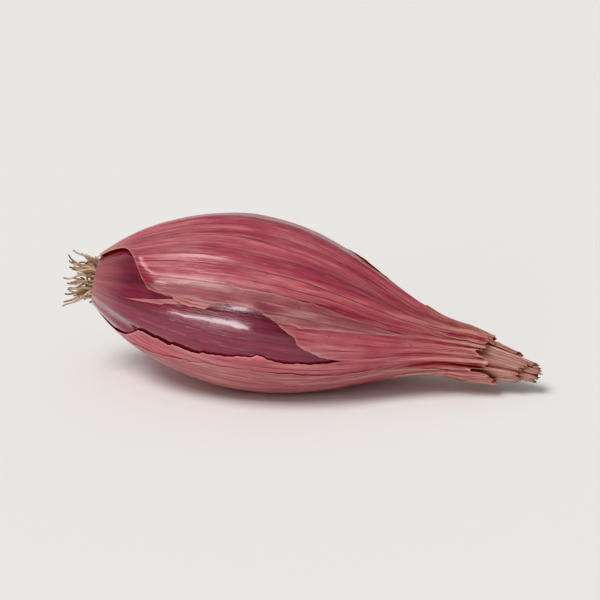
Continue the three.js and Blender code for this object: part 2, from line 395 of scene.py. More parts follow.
def skin_patterns(t, veins):
    uv = add(t, "ShaderNodeUVMap", uv_map="skin")
    turn = add(t, "ShaderNodeSeparateXYZ", uv, out="X")
    along = add(t, "ShaderNodeSeparateXYZ", uv, out="Y")
    along = add(t, MATH, along, 100.0, operation="MULTIPLY")
    _, grain = round_the_bulb(t, turn, along, PATTERN_STRETCH)
    place = add(t, "ShaderNodeTexCoord", out="Object")
    seen = {"along": along, "place": place}
    for name, where, scale, detail, roughness in (
            ("band", grain, BELLY_RADIUS / BAND, 3.0, 0.55),
            ("streak", grain, BELLY_RADIUS / STREAK, 3.0, 0.6),
            ("cells", grain, BELLY_RADIUS / CELL_FILE, 2.0, 0.6),
            ("bloom", place, 1 / (BLOOM * MM), 4.0, 0.6),
            ("speck", place, 1 / (SPECK * MM), 2.0, 0.5)):
        seen[name] = add(t, NOISE, where,
                         named={"Scale": scale, "Detail": detail, "Roughness": roughness})
    wobble = add(t, MATH, seen["band"], VEIN_WAVER, operation="MULTIPLY")
    phase = add(t, MATH, turn, veins, wobble, operation="MULTIPLY_ADD")
    line = add(t, MATH, phase, 0.5, operation="PINGPONG")
    line = add(t, RANGE, line, 0.0, VEIN_WIDTH, 1.0, 0.0, **EASED)
    shown = add(t, RANGE, seen["streak"], *VEINS_SHOW, *VEIN_SHARES)
    seen["vein"] = add(t, MATH, line, shown, operation="MULTIPLY")
    return seen


# %% [markdown]
# ### One colour over another
# Each pattern is a colour with a share, laid over what is there already. Colours are picked as sRGB
# hex values, and shaders work in linear light, so one function turns the first into the second. The
# Mix node has its two colours in inputs 6 and 7 and the blend in output 2, so they get names.

# %% Pigment, bloom, veins and soil
BANDS_SHOW, STREAKS_SHOW, DUST_SHOWS = (0.36, 0.64), (0.48, 0.72), (0.5, 0.75)
CELLS_SHOW, CELL_SHADES = (0.3, 0.7), (0.78, 1.16)
SOIL_COLOUR, SOIL_SHOWS = "#3f2722", (0.48, 0.54)
SOIL_WAVER, SOIL_RIM = 0.12, (0.09, 0.15)
UNDER, OVER = 6, 7
BLEND = {"data_type": "RGBA", "out": 2}


def linear(hex_colour):
    channels = [int(hex_colour[i:i + 2], 16) / 255 for i in (1, 3, 5)]
    return *(c / 12.92 if c <= 0.04045 else ((c + 0.055) / 1.055) ** 2.4 for c in channels), 1.0


def pigment(t, seen, look):
    banded = add(t, RANGE, seen["band"], *BANDS_SHOW, 0.0, 1.0, **EASED)
    streaked = add(t, RANGE, seen["streak"], *STREAKS_SHOW, 0.0, look["streaks"])
    dusty = add(t, RANGE, seen["bloom"], *DUST_SHOWS, 0.0, look["bloom"])
    veined = add(t, MATH, seen["vein"], look["vein share"], operation="MULTIPLY")
    grit = add(t, "ShaderNodeTexVoronoi", seen["place"], named={"Scale": 1 / (SOIL_GRAIN * MM)})
    grit = add(t, MATH, seen["speck"], SOIL_WAVER, grit, operation="MULTIPLY_ADD")
    grit = add(t, RANGE, grit, *SOIL_RIM, look["grit"], 0.0)
    sparse = add(t, RANGE, seen["bloom"], *SOIL_SHOWS)
    soiled = add(t, MATH, grit, sparse, operation="MULTIPLY")
    colour = linear(look["deep"])
    for share, over in ((banded, look["mid"]), (streaked, look["pale"]), (dusty, look["dust"]),
                        (veined, look["vein"]), (soiled, SOIL_COLOUR)):
        colour = add(t, MIX, share, named={UNDER: colour, OVER: linear(over)}, **BLEND)
    shade = add(t, RANGE, seen["cells"], *CELLS_SHOW, *CELL_SHADES)
    return add(t, VECTOR, colour, named={"Scale": shade}, operation="SCALE")


# %% [markdown]
# ### Where a skin is oldest
# Pigment fades first where a skin dried first: in tongues from the neck, at the root end, and along
# torn edges. There the skin turns tan. Along a torn edge the pale rim is also a painted glow of light
# through the thin edge. At the neck the raised ridges are painted paler and the grooves between them
# darker, which is painted shade that follows the pleats.

# %% Tan at both ends and along torn edges
NECK_TONGUES, ROOT_TONGUES = 16.0, 7.0
ROOT_TAN = (11.0, 4.5)
RIDGE_SHARE, RIDGES_SHOW = 0.22, (0.45, 0.68)
PATCHES_SHOW, PATCH_SHARE = (0.4, 0.6), 0.25


def aged(t, seen, look, colour):
    tongues = add(t, MATH, seen["streak"], NECK_TONGUES, seen["along"], operation="MULTIPLY_ADD")
    necked = add(t, RANGE, tongues, *look["neck from, to"], 0.0, look["neck share"], **EASED)
    # At the neck the raised ridges are painted paler and the grooves between them darker: painted
    # shade that follows the pleats, over the real tan.
    raised = add(t, "ShaderNodeAttribute", attribute_name="ridge", out="Fac")
    tan = add(t, MATH, raised, RIDGE_SHARE, seen["cells"], operation="MULTIPLY_ADD")
    tan = add(t, RANGE, tan, *RIDGES_SHOW)
    tans = {UNDER: linear(look["neck dark"]), OVER: linear(look["neck pale"])}
    tan = add(t, MIX, tan, named=tans, **BLEND)
    tongues = add(t, MATH, seen["streak"], ROOT_TONGUES, seen["along"], operation="MULTIPLY_ADD")
    rooted = add(t, RANGE, tongues, *ROOT_TAN, 0.0, look["root share"], **EASED)
    # Torn edges take the edge colour: on leaf and films a pale rim, partly bleached skin and partly a
    # painted glow of light through the thin edge; on the rolled sheath a darker brown.
    torn = add(t, "ShaderNodeAttribute", attribute_name="edge", out="Fac")
    share = look["edge share"]
    patchy = add(t, RANGE, seen["bloom"], *PATCHES_SHOW, PATCH_SHARE * share, share)
    torn = add(t, MATH, torn, patchy, operation="MULTIPLY")
    root, edge = linear(look["root"]), linear(look["edge"])
    for share, over in ((necked, tan), (rooted, root), (torn, edge)):
        colour = add(t, MIX, share, named={UNDER: colour, OVER: over}, **BLEND)
    return colour


# %% [markdown]
# ### Shine of a skin
# The shine is broken up lengthwise, because veins and files of cells are tiny ridges. They are the
# bump, and the streaks also change how rough the skin is. A clear coat is the wax on top, and a
# little light comes back from the flesh below.

# %% Skin finish
FLESH_DEPTH, FLESH_COLOUR = 1.2, (1.0, 0.35, 0.25)
SKIN_IOR, GLOSS_BETWEEN = 1.45, (0.35, 0.7)
CELL_BUMP, SPECK_BUMP = 0.35, 0.18


def blank_finish(name):
    material = bpy.data.materials.new(name)
    material.use_nodes = True
    material.node_tree.nodes.clear()
    return material, material.node_tree


def end_finish(material, colour, height, depth, strength=1.0, **looks):
    t = material.node_tree
    bump = {"Strength": strength, "Distance": depth * MM, "Height": height}
    normal = add(t, "ShaderNodeBump", named=bump)
    surface = add(t, "ShaderNodeBsdfPrincipled", colour, named={"Normal": normal, **looks})
    add(t, "ShaderNodeOutputMaterial", surface)
    print("finish:", material.name, "has", len(t.nodes), "nodes")
    return material


def skin_finish(name, look):
    material, t = blank_finish(name)
    seen = skin_patterns(t, look["veins"])
    colour = aged(t, seen, look, pigment(t, seen, look))
    rough = add(t, RANGE, seen["streak"], *GLOSS_BETWEEN, *look["roughness"])
    fine = seen["vein"]
    for pattern, share in (("cells", CELL_BUMP), ("streak", look["ridges"]), ("speck", SPECK_BUMP)):
        fine = add(t, MATH, seen[pattern], share, fine, operation="MULTIPLY_ADD")
    return end_finish(material, colour, fine, look["bump"], **{
        "Roughness": rough, "IOR": SKIN_IOR, "Coat Weight": look["coat"],
        "Coat Roughness": look["coat roughness"], "Subsurface Weight": look["glow"],
        "Subsurface Scale": FLESH_DEPTH * MM, "Subsurface Radius": FLESH_COLOUR})


# %% [markdown]
# ### Fresh skin
# The skin that the tear lays bare is living, smooth and moist. To the eye it is deep
# magenta-crimson and glossier than the rest, with its veins only faintly seen.

# %% Fresh skin, a live epidermis
fresh_finish = skin_finish("fresh_shallot_epidermis", {
    "deep": "#5c1a2c", "mid": "#7c293d", "pale": "#9c4858", "dust": "#864455", "vein": "#3c0c1a",
    "neck pale": "#b9715c", "neck dark": "#7c2b2c", "root": "#a8686a", "edge": "#a04a58",
    "veins": 46, "vein share": 0.4, "streaks": 0.45, "bloom": 0.2, "grit": 0.0,
    "neck from, to": (50.0, 62.0), "neck share": 0.8, "root share": 0.7, "edge share": 0.0,
    "roughness": (0.2, 0.3), "coat": 1.0, "coat roughness": 0.11, "glow": 0.08,
    "bump": 0.035, "ridges": 3.5})

# %% [markdown]
# ### Papery skin
# The outer leaf was cured, that is, dried in moving air after the harvest. It gives the eye rose to
# dusty pink with a satin shine, dark veins, tan tongues at the neck, and torn edges with a pale rim
# that is partly bleached skin and partly a painted glow of light through the thin edge.

# %% Papery skin, a cured outer leaf
papery = {
    "deep": "#963a4c", "mid": "#b85b66", "pale": "#cf8a86", "dust": "#c48a8c", "vein": "#6c1e2e",
    "neck pale": "#cb9184", "neck dark": "#92404a", "root": "#c89686", "edge": "#cc988a",
    "veins": 58, "vein share": 0.75, "streaks": 0.6, "bloom": 0.4, "grit": 0.7,
    "neck from, to": (49.0, 62.0), "neck share": 0.9, "root share": 0.75, "edge share": 0.6,
    "roughness": (0.28, 0.44), "coat": 0.3, "coat roughness": 0.22, "glow": 0.05,
    "bump": 0.07, "ridges": 1.5}
papery_finish = skin_finish("cured_papery_leaf", papery)

# %% [markdown]
# ### Films
# The last shreds of an even older leaf are thin, brittle and weathered, so they hardly shine. Some
# have gone to a coppery tan, and others have kept a pink that is dulled by dust.

# %% Coppery film and dusty film, the oldest leaf
coppery = {
    **papery,
    "deep": "#9a4d57", "mid": "#bc7a75", "pale": "#d9ad9d", "dust": "#cb9a93", "vein": "#783836",
    "neck pale": "#d6a892", "neck dark": "#9c564c", "root": "#cfa08a", "edge": "#cfa594",
    "vein share": 0.7, "streaks": 0.7, "bloom": 0.3, "root share": 0.6,
    "roughness": (0.36, 0.55), "coat": 0.1, "coat roughness": 0.3, "ridges": 1.0}
copper_finish = skin_finish("weathered_copper_film", coppery)
dusty_finish = skin_finish("weathered_dusty_film", {
    **coppery, "deep": "#925056", "mid": "#ac686c", "pale": "#c79692", "dust": "#ba8486",
    "vein": "#78363c", "edge": "#c9988c"})

# %% [markdown]
# ### Rolled sheath
# The inner sheaths of the neck have dried right through: beige-pink and tan to the eye, and matt.

# %% Rolled sheath, dried leaf bases
sheath_finish = skin_finish("dried_leaf_sheath", {
    **coppery,
    "deep": "#9a5654", "mid": "#bb7e76", "pale": "#d8ab9e", "dust": "#c8988e", "vein": "#6c3632",
    "neck pale": "#d4a89a", "neck dark": "#985e54", "root": "#cfa28c", "edge": "#8f6152",
    "veins": 40, "vein share": 0.5, "streaks": 0.6, "grit": 0.6,
    "neck from, to": (58.0, 68.0), "neck share": 0.85, "root share": 0.0, "edge share": 0.7,
    "roughness": (0.42, 0.6), "coat": 0.05, "bump": 0.06})


# %% [markdown]
# ## The fresh skin
# It covers the whole bulb, a skin's thickness inside the papery one, and rolls over a round lip into
# the hollow that holds the basal plate. A patch just larger than the tear would show its end under a
# lifted edge, so it is one ring of rows from the root to the neck, closed at both ends.

# %% Fresh skin
SKIN_STEP, LIP_STEP, STEP_GROWS_OVER = 0.45, 0.22, 2.5
SKIN_ROWS, SKIN_COLUMNS, ROW_CROWDING = 230, 220, 1.6
SKIN_CLEARANCE = 0.25
# The lip: its depth under the rim of the bulb and its radius, from the plate outwards.
LIP_PROFILE = [(DIMPLE_DEPTH, 1.6), (DIMPLE_DEPTH, 2.9), (DIMPLE_DEPTH - 0.35, 3.15),
               (0.3, 3.06), (0.12, 3.08), (0.03, 3.14), (0.0, 3.24)]


def full_round(rows, columns):
    return np.meshgrid(rows, np.linspace(0, 360, columns, endpoint=False), indexing="ij")


rows = LIP_AT + (NECK_AT - LIP_AT) * np.linspace(0, 1, SKIN_ROWS) ** ROW_CROWDING
s, a0 = full_round(rows, SKIN_COLUMNS)
a = a0 + twist(s)
deeper = (SKIN_STEP - LIP_STEP) * smooth(s, LIP_AT, LIP_AT + STEP_GROWS_OVER)
depths, radii = np.array(LIP_PROFILE).T
lip_s, lip_a = full_round(LIP_AT + depths, SKIN_COLUMNS)
lip = np.repeat(radii[:, None], SKIN_COLUMNS, 1)
radius = np.vstack([lip, skin_radius(s, a) - LIP_STEP - deeper])
fresh_skin = weave("fresh_skin", np.vstack([lip_s, s]), np.vstack([lip_a, a]), radius, ring=True,
                   poles=(LIP_AT + DIMPLE_DEPTH, NECK_AT), floor=SKIN_CLEARANCE)
grow(fresh_skin, relief, {"Vein count": 29, "Vein height": 0.03, "Pleat height": 0.1,
                          "Crinkle height": 0.06, "Hollow depth": 0.12, "Seed": 3.0}, fresh_finish)


# %% [markdown]
# ## Torn edges
# Dry skin tears along its veins and now and then jumps across to the next, so a torn edge is a long
# line with small steps and a few pointed flaps. As it dries further, the edge curls away from the
# bulb. Drawn by hand, each would be a list of points. Seeded steps and waves give both by a rule,
# and are the same on every run.

# %% Torn lines and lifted edges
STEP_COUNT, STEPS_FROM, STEP_WIDTH = 60, 12, 0.4
SHORTEST_RUN, LONGEST_RUN = 0.4, 1.6
# A wave: its length and its size.
SPLINTERS = ((2.6, 0.1), (1.1, 0.08))
CURL_MEAN, CURL_WAVES = 0.45, ((19.0, 0.4), (8.0, 0.25))
LEAST_CURL, PAST_EDGE = 0.12, 1.25


def wander(x, seed, *waves):
    random = np.random.default_rng(seed)
    return sum(size * np.sin(math.tau * x / length + random.uniform(0, math.tau))
               for length, size in waves)


def torn_line(x, seed, size, run):
    random = np.random.default_rng(seed)
    runs = random.uniform(SHORTEST_RUN * run, LONGEST_RUN * run, STEP_COUNT)
    steps = np.cumsum(runs) - STEPS_FROM
    before, after = random.uniform(-size, size, (2, STEP_COUNT))
    ends = np.stack([steps, steps + STEP_WIDTH], 1).ravel()
    line = np.interp(x, ends, np.stack([before, after], 1).ravel())
    return line + wander(x, seed + 1, *[(length, share * size) for length, share in SPLINTERS])


def curl(distance, x, seed, height, reach):
    strength = np.clip(CURL_MEAN + wander(x, seed, *CURL_WAVES), LEAST_CURL, 1)
    return height * strength * np.clip(1 - distance / reach, 0, PAST_EDGE) ** 2


print("a torn line every 8 mm:", torn_line(np.arange(0, 40, 8), seed=13, size=2.6, run=6.0).round(1))


# %% [markdown]
# ## The papery skin
# One leaf wraps the bulb and runs on over the neck as its outer sheath. It has torn open along the
# front, where the solid bulb shows a hollow, and wide open towards the root. A closed form with a
# hole cut in it would have stair-stepped edges. Instead the net starts at the tear's upper edge,
# goes round the back and ends at the lower one, so its first and last column are the torn edges.
# Past the end of the tear both columns meet, and are welded.

# %% Edges of the tear, as angles at each place along the bulb
TEAR_AT, TEAR_HALF, TEAR_DRIFT = 1.0, 18.0, -6.0
TEAR_SWAY, RADIANS_PER_MM = 3, 0.31
TEAR_FLARE, FLARE_ENDS = 46.0, (4.5, 10.5)
TEAR_CLOSES, TEAR_PINCHES = (20.0, 37.0), (33.0, 37.0)
RAGGED_ALONG = (4, 7, 10, 13)
NEARBY = np.linspace(-2, 2, 9)


def tear_edges(s):
    closing = smooth(s, *TEAR_CLOSES)
    opened = 1 - smooth(s, *TEAR_PINCHES)
    centre = TEAR_AT + TEAR_SWAY * np.sin(s * RADIANS_PER_MM) + TEAR_DRIFT * closing
    half = (TEAR_HALF + TEAR_FLARE * (1 - smooth(s, *FLARE_ENDS))) * (1 - closing)
    ragged = faded(1, s, *RAGGED_ALONG) * opened
    upper = centre + half + torn_line(s, seed=13, size=2.6, run=6.0) * opened
    upper = upper + torn_line(s, seed=17, size=2.5, run=2.4) * ragged
    lower = centre - half - torn_line(s, seed=12, size=3.4, run=6.0) * opened
    lower = lower - torn_line(s, seed=19, size=4.0, run=2.0) * ragged
    return np.maximum(upper, centre), np.minimum(lower, centre), opened


def smoothed_edges(s):
    return np.mean([tear_edges(s + step)[:2] for step in NEARBY], axis=0)


print("opening of the tear at 15 mm, degrees:", np.subtract(*tear_edges(15.0)[:2]).round(1))


# %% [markdown]
# ### How the leaf lies beside its tear
# The upper edge has curled up and away, and the lower one clings to the bulb. The lift follows a
# smoothed edge, or each small step of the tear would send a crease across the leaf. The finish is
# told the real edge, for its pale rim, which is bleached skin with a painted glow of light through
# the thin edge.

# %% Lift, cling and rim beside the tear
EDGE_RIM = 0.35
UPPER_CURL = {"seed": 31, "height": 0.8, "reach": 2.6}
LOWER_CURL = {"seed": 33, "height": 0.08, "reach": 2.2}
CLING, CLING_REACH = 0.2, 1.5


def millimetres(degrees, radius):
    return degrees * np.pi / 180 * radius


def lifted_skin(s, a0):
    base = skin_radius(s, a0 + twist(s))
    upper, lower, opened = tear_edges(s)
    from_tear = np.minimum(millimetres(a0 - upper, base), millimetres(lower + 360 - a0, base))
    nearness = opened * np.exp(-(from_tear / EDGE_RIM) ** 2)
    upper, lower = smoothed_edges(s)
    below = millimetres(lower + 360 - a0, base)
    upper_lift = opened * curl(millimetres(a0 - upper, base), s, **UPPER_CURL)
    lower_lift = opened * curl(below, s, **LOWER_CURL)
    roll = 0.5 * (upper_lift - lower_lift) / base * 180 / np.pi
    cling = CLING * opened * np.exp(-(below / CLING_REACH) ** 2)
    return base + upper_lift + lower_lift - cling, roll, nearness


# %% [markdown]
# ### The leaf from root to neck
# At the root end the leaf is frayed. At the neck it was cut and has split along its pleats since. The
# columns are closest together at the torn edges, where the shape changes most.

# %% Papery skin
LEAF_ROWS, LEAF_COLUMNS, ROWS_TO_ROOT, COLUMNS_TO_EDGES = 206, 212, 1.15, 0.45
ROOT_OVERHANG = 0.25
SHEATH_END, SHEATH_SLANT, SHEATH_TURN = 56.2, 1.5, 205.0
# A split in the sheath: its angle and its depth.
SPLITS, SPLIT_SPREAD = [(332, 1.9), (18, 1.3), (71, 2.3), (148, 1.6), (236, 2.1)], 4.0
# Degrees in a millimetre of the way round, which turn an angle into millimetres.
DEGREES_AT_LIP, DEGREES_AT_NECK, DEGREES_AT_SHOULDER = 15, 19, 9
END_CURL = {"seed": 35, "height": 0.35, "reach": 1.3}
LEAF_THICKNESS, WELD_DISTANCE = 0.07, 0.002
LEAF_RELIEF = {"Vein count": 29, "Vein height": 0.05, "Pleat height": 0.28,
               "Crinkle height": 0.09, "Hollow depth": 0.25, "Seed": 5.0}

v = np.linspace(0, 1, LEAF_ROWS)[:, None] ** ROWS_TO_ROOT
u = np.linspace(0, 1, LEAF_COLUMNS)[None, :]
u = (1 - COLUMNS_TO_EDGES) * u + COLUMNS_TO_EDGES * (0.5 - 0.5 * np.cos(math.pi * u))
nominal = TEAR_AT + 360 * u
start = LIP_AT - ROOT_OVERHANG + torn_line(nominal / DEGREES_AT_LIP, seed=21, size=0.25, run=2.5)
end = SHEATH_END + SHEATH_SLANT * np.cos(np.radians(nominal - SHEATH_TURN))
splits = sum(dent(nominal, at, depth, SPLIT_SPREAD) for at, depth in SPLITS)
end = end + torn_line(nominal / DEGREES_AT_NECK, seed=23, size=0.4, run=2.6) - splits
end = end + wander(nominal, 25, (17, 0.22), (7.3, 0.16))
s = start + (end - start) * v
from_end = np.minimum(s - start, end - s)
upper, lower, _ = tear_edges(s)
a0 = upper + (lower + 360 - upper) * u
radius, roll, nearness = lifted_skin(s, a0)
radius = radius + curl(from_end, a0 / DEGREES_AT_SHOULDER, **END_CURL)
nearness = np.maximum(nearness, np.exp(-(from_end / EDGE_RIM) ** 2))
papery_skin = weave("papery_skin", s, a0 + roll + twist(s), radius, edge=nearness)
weld = papery_skin.modifiers.new("weld", "WELD")
weld.merge_threshold = WELD_DISTANCE * MM
grow(papery_skin, relief, LEAF_RELIEF, papery_finish, thickness=LEAF_THICKNESS)


# %% [markdown]
# ## Films of an older skin
# Where the leaf before that one still clings, it lies on the papery skin as a film, torn along the
# veins and drawn out to a tip at each end. Paint on the papery skin would have no edge to catch the
# light, so each film is a patch of the same kind of net. It follows the lifted skin below it, and
# its relief has the same seed, so the two never cross. One sliver has stayed on the fresh skin in
# the tear.

# %% One film
FILM_THICKNESS, FILM_GAP, FILM_CURL_REACH, FILM_RIM = 0.05, 0.06, 1.4, 0.16
LOW_RUN, HIGH_RUN, TIP_TEAR = 5.0, 6.0, {"size": 1.2, "run": 2.0}
OFF_UPPER_EDGE, OFF_LOWER_EDGE, NARROW_TIP = 1, -4, 8
DEGREES_AT_BELLY, BLUNT_TIP = 6, 0.1
ROOT_TIP_SHAPE, NECK_TIP_SHAPE, TORN_AT_TIPS = 0.8, 0.6, 6


def bare_skin(s, a0):
    return skin_radius(s, a0 + twist(s)) - SKIN_STEP, 0, 0


def film_net(length, girth, seed, net, tips, tear, on, slant):
    v = np.linspace(0, 1, net[0])[:, None]
    u = np.linspace(0, 1, net[1])[None, :]
    spread = np.clip(v / tips[0], 0, 1) ** ROOT_TIP_SHAPE
    spread = spread * np.clip((1 - v) / tips[1], 0, 1) ** NECK_TIP_SHAPE
    middle = (girth[0] + girth[1]) / 2 + slant * (v - 0.5)
    half = (girth[1] - girth[0]) / 2
    along = length[0] + (length[1] - length[0]) * v
    low = middle - spread * (half + torn_line(along, seed, tear, LOW_RUN))
    high = middle + spread * (half + torn_line(along, seed + 2, tear, HIGH_RUN))
    if on is lifted_skin:
        upper, lower, _ = tear_edges(along)
        low = np.maximum(low, upper + OFF_UPPER_EDGE)
        high = np.minimum(high, lower + 360 + OFF_LOWER_EDGE)
    a0 = low + (high - low) * u
    at_tips = v ** TORN_AT_TIPS - (1 - v) ** TORN_AT_TIPS
    return along, along + torn_line(a0 / DEGREES_AT_BELLY, seed + 5, **TIP_TEAR) * at_tips, a0


def film(name, length, girth, seed, net, tips, tear, lift=0.45, finish=copper_finish,
         on=lifted_skin, slant=0.0):
    along, s, a0 = film_net(length, girth, seed, net, tips, tear, on, slant)
    low, high = a0[:, :1], a0[:, -1:]
    radius, roll, _ = on(s, a0)
    across = millimetres(np.minimum(a0 - low, high - a0), radius)
    from_edge = np.minimum(across, np.minimum(s - length[0], length[1] - s).clip(0) + BLUNT_TIP)
    strip = along + a0 / DEGREES_AT_SHOULDER
    radius = radius + FILM_GAP + curl(from_edge, strip, seed + 8, lift, FILM_CURL_REACH)
    nearness = np.exp(-(from_edge / FILM_RIM) ** 2) * np.minimum(1, (high - low) / NARROW_TIP)
    piece = weave(name, s, a0 + roll + twist(s), radius, edge=nearness)
    return grow(piece, relief, LEAF_RELIEF, finish, thickness=FILM_THICKNESS)


# %% Five films: the way along in millimetres, the way round in degrees
films = [
    film("film_sliver", (6.2, 19.0), (12.0, 16.5), seed=41, net=(120, 12), tips=(0.6, 0.3), tear=0.7,
         lift=0.12, finish=dusty_finish, on=bare_skin, slant=14.0),
    film("film_front", (10.0, 43.0), (14.0, 34.0), seed=51, net=(170, 36), tips=(0.3, 0.5), tear=1.8,
         lift=0.2, finish=dusty_finish),
    film("film_under", (7.5, 51.0), (296.0, 335.0), seed=81, net=(190, 50), tips=(0.25, 0.35),
         tear=3.0, lift=0.1, finish=dusty_finish),
    film("film_back", (4.5, 46.0), (152.0, 256.0), seed=61, net=(170, 110), tips=(0.35, 0.3),
         tear=4.5),
    film("film_shoulder", (29.0, 55.0), (114.0, 144.0), seed=71, net=(110, 50), tips=(0.35, 0.06),
         tear=4.0, lift=0.3),
]


# %% [markdown]
# ## The rolled sheaths of the neck
# Inside the outer sheath, younger leaf bases dry into a scroll. A solid plug with lines on it would
# look like wood, so this is one thin leaf rolled up two and a half turns, each turn inside the
# last. Cut across, it shows the spiral that a real neck shows.

# %% Rolled sheath
ROLL_ROWS, ROLL_COLUMNS = 90, 250
ROLL_TURNS, ROLL_PITCH, ROLL_FROM, ROLL_STARTS_AT = 2.5, 0.34, 47.0, 60
ROLL_INSET, ROLL_RIBS, USUAL_RADIUS = 0.32, 0.8, 1.5
OUTER_END, INNER_LONGER, LONGER_BETWEEN = 59.4, 2.5, (240, 420)
ROLL_CURL = {"seed": 93, "height": 0.16, "reach": 0.8}
ROLL_RIM, STEP_DEGREES, CURL_DEGREES = 0.5, 24, 11

v = np.linspace(0, 1, ROLL_ROWS)[:, None]
a0 = np.linspace(0, 360 * ROLL_TURNS, ROLL_COLUMNS)[None, :]
end = OUTER_END + INNER_LONGER * smooth(a0, *LONGER_BETWEEN)
end = end + torn_line(a0 / STEP_DEGREES, seed=91, size=0.6, run=1.4)
end = end + wander(a0, 95, (19, 0.2), (8.3, 0.14))
s = ROLL_FROM + (end - ROLL_FROM) * v
a = a0 + ROLL_STARTS_AT + twist(s)
outer = mean_radius(s) - ROLL_INSET + ribs(s, a) * ROLL_RIBS
radius = outer - ROLL_PITCH * a0 / 360 * outer / USUAL_RADIUS
radius = radius + curl(end - s, a0 / CURL_DEGREES, **ROLL_CURL)
rolled_sheath = weave("rolled_sheath", s, a, radius, edge=np.exp(-((end - s) / ROLL_RIM) ** 2))
grow(rolled_sheath, relief, {"Vein count": 40, "Vein height": 0.04, "Pleat height": 0.03,
                             "Crinkle height": 0.06, "Hollow depth": 0.05, "Seed": 8.0},
     sheath_finish, thickness=LEAF_THICKNESS)


# %% [markdown]
# ## The basal plate
# The plate is the shallot's true stem: a corky dome, with rings of scars where roots broke off. To
# the eye it is pale brown, with darker pits and a little soil in them. A smooth dome with a bump
# finish would look turned, so its rings and lumps are in the net.

# %% Basal plate finish, dried cork
CORK_LUMP, CORK_PIT, CORK_BUMP = 1.4, 0.7, 0.15
LUMPS_SHOW, SOIL_IN_PITS, PIT_BUMP = (0.35, 0.65), (0.28, 0.1), 0.6

cork, t = blank_finish("dried_basal_cork")
place = add(t, "ShaderNodeTexCoord", out="Object")
lump = add(t, NOISE, place, named={"Scale": 1 / (CORK_LUMP * MM), "Detail": 4.0, "Roughness": 0.65})
pit = add(t, "ShaderNodeTexVoronoi", place, named={"Scale": 1 / (CORK_PIT * MM)})
tone = add(t, RANGE, lump, *LUMPS_SHOW)
colour = add(t, MIX, tone, named={UNDER: linear("#7a5844"), OVER: linear("#c4a182")}, **BLEND)
soil = add(t, RANGE, pit, *SOIL_IN_PITS)
colour = add(t, MIX, soil, named={UNDER: colour, OVER: linear("#3f2c22")}, **BLEND)
height = add(t, MATH, pit, PIT_BUMP, lump, operation="MULTIPLY_ADD")
end_finish(cork, colour, height, CORK_BUMP, Roughness=0.85)


# %% Basal plate
PLATE_ROWS, PLATE_COLUMNS, FIRST_ROW = 40, 96, 0.04
PLATE_RADIUS, PLATE_RISE, PLATE_BACK = 3.0, 1.5, LIP_AT + DIMPLE_DEPTH - 0.15
RING_HEIGHT, RING_RADIANS_PER_MM, LUMP_DEGREES = 0.1, 7.5, 20
DOME_SHAPE, RINGS_GROW, LUMPS_GROW = 0.8, (0.3, 1.0), (0.2, 1.2)
ROOTED_FROM_CENTRE = (0.2, 2.2, 2.3, 2.8)

v = np.linspace(FIRST_ROW, 1, PLATE_ROWS)
dome = PLATE_BACK - PLATE_RISE * np.cos(v * math.pi / 2) ** DOME_SHAPE
s, a = full_round(dome, PLATE_COLUMNS)
radius = np.repeat((PLATE_RADIUS * np.sin(v * math.pi / 2))[:, None], PLATE_COLUMNS, 1)
rings = RING_HEIGHT * np.sin(radius * RING_RADIANS_PER_MM) * smooth(radius, *RINGS_GROW)
lumps = wander(a / LUMP_DEGREES, 101, (5, 0.08), (2.3, 0.06))
lumps = lumps * wander(radius, 102, (1.4, 1.0), (0.8, 0.6))
s = s - rings - lumps * smooth(radius, *LUMPS_GROW)
rooted = faded(1, radius, *ROOTED_FROM_CENTRE)
basal_plate = weave("basal_plate", s, a, radius, edge=rooted, ring=True,
                    poles=(PLATE_BACK - PLATE_RISE, PLATE_BACK))
basal_plate.data.materials.append(cork)
for polygon in basal_plate.data.polygons:
    polygon.use_smooth = True
print("basal plate faces:", len(basal_plate.data.polygons))


# %% [markdown]
# ## Roots
# Over a hundred thin roots grew from the plate, most near its rim. Dried, they are wiry and curly,
# and most have broken to stubs. Placing each by hand would show a pattern. Geometry Nodes scatter
# points on the plate with a fixed seed, stand a straight thread on each, curl it with noise that
# grows towards its free end, and sweep a small circle along it. Dry fibre gives the eye a pale tan
# with a darker grain, a tone of its own for each root, and brown where it broke.

# %% Root finish, dried fibre
ROOT_GRAIN, ROOT_BUMP, GRAIN_SHARE = 0.55, 0.05, 0.6
TONES, BROKEN_END, BROWN_SHARE = (0.3, 1.2), (0.75, 1.0), 0.6

fibre, t = blank_finish("dried_root_fibre")
tone = add(t, "ShaderNodeAttribute", attribute_name="root_tone", out="Fac")
reach = add(t, "ShaderNodeAttribute", attribute_name="root_reach", out="Fac")
place = add(t, "ShaderNodeTexCoord", out="Object")
grain = add(t, NOISE, place, named={"Scale": 1 / (ROOT_GRAIN * MM), "Detail": 3.0})
shade = add(t, MATH, grain, GRAIN_SHARE, tone, operation="MULTIPLY_ADD")
shade = add(t, RANGE, shade, *TONES)
colour = add(t, MIX, shade, named={UNDER: linear("#856a56"), OVER: linear("#d6b99e")}, **BLEND)
broken = add(t, RANGE, reach, *BROKEN_END, 0.0, BROWN_SHARE)
colour = add(t, MIX, broken, named={UNDER: colour, OVER: linear("#5a4030")}, **BLEND)
end_finish(fibre, colour, grain, ROOT_BUMP, strength=0.8, Roughness=0.8)


# %% Threads that stand on the plate
SHORTEST_ROOT, ROOT_SUNK, UNTIDINESS, JOINTS_IN_ROOT = 0.8, -0.12, 0.55, 12
RANDOM, TONE_SEED, SCATTER_SEED, MOST_ARE_SHORT = "FunctionNodeRandomValue", 7, 3, 3.0


